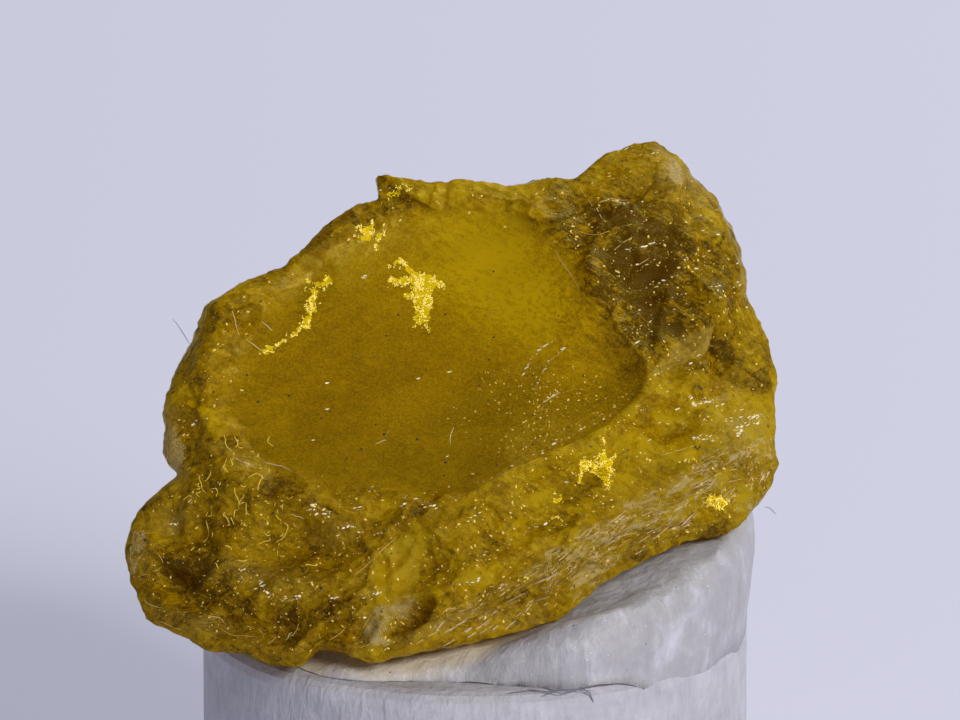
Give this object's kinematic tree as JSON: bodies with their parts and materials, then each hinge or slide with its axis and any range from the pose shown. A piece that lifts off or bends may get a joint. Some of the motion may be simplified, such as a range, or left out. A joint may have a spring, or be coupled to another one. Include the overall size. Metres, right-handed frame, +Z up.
{
  "type": "sinhalite specimen",
  "caption": "Rough see-through yellow-brown gem crystal, broad shell-shaped hollow on its front, leaning in a pat of pale putty on a short white round post.",
  "frame": {"origin": "centre of the post's flat bottom face", "axes": "+Z up along the post, +X to the viewer's right, +Y to the back; the stone's front faces -Y and leans back"},
  "size_m": [0.012, 0.01, 0.0141],
  "materials": {
    "sinhalite": "satin",
    "putty": "satin",
    "plaster": "matte"
  },
  "bodies": {
    "root": {"sinhalite_stone": "sinhalite", "mounting_putty": "putty", "display_post": "plaster"}
  },
  "joints": []
}
